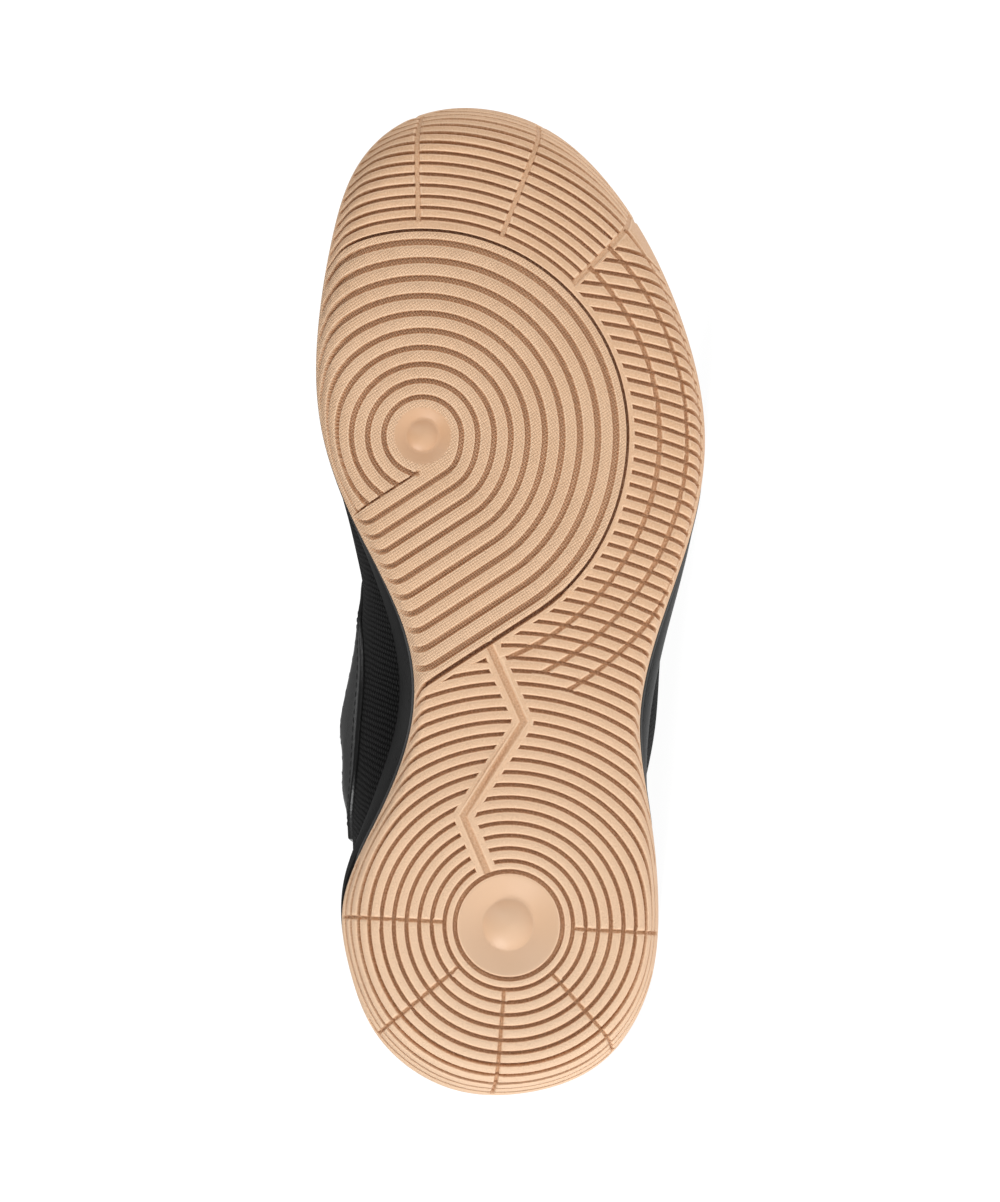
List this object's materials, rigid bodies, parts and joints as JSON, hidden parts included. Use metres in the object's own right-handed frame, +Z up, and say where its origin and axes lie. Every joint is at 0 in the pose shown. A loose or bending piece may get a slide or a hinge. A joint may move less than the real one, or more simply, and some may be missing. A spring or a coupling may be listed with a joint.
{
  "type": "basketball shoe",
  "caption": "Left mid-cut basketball shoe lying on its outer side, gum cup sole with ringed pivot tread, foam midsole, hollow knit upper, tongue and crossed lace.",
  "frame": {"origin": "middle of the bounding box on the floor that the shoe lies on", "axes": "+X towards the toe, +Z up from the floor, the sole faces -Y and the inner side faces +Z"},
  "size_m": [0.3, 0.1418, 0.1214],
  "materials": {
    "gum_rubber": "satin gum rubber",
    "black_foam": "matt moulded foam",
    "insole_cloth": "matt cloth",
    "black_knit": "matt knit",
    "black_overlay": "soft satin",
    "black_lace": "flat woven"
  },
  "bodies": {
    "root": {"outsole": "gum_rubber", "midsole": "black_foam", "insole": "insole_cloth", "upper": "black_knit", "eyestay": "black_overlay", "heel_counter": "black_overlay", "tongue": "black_knit", "lace": "black_lace"}
  },
  "joints": []
}
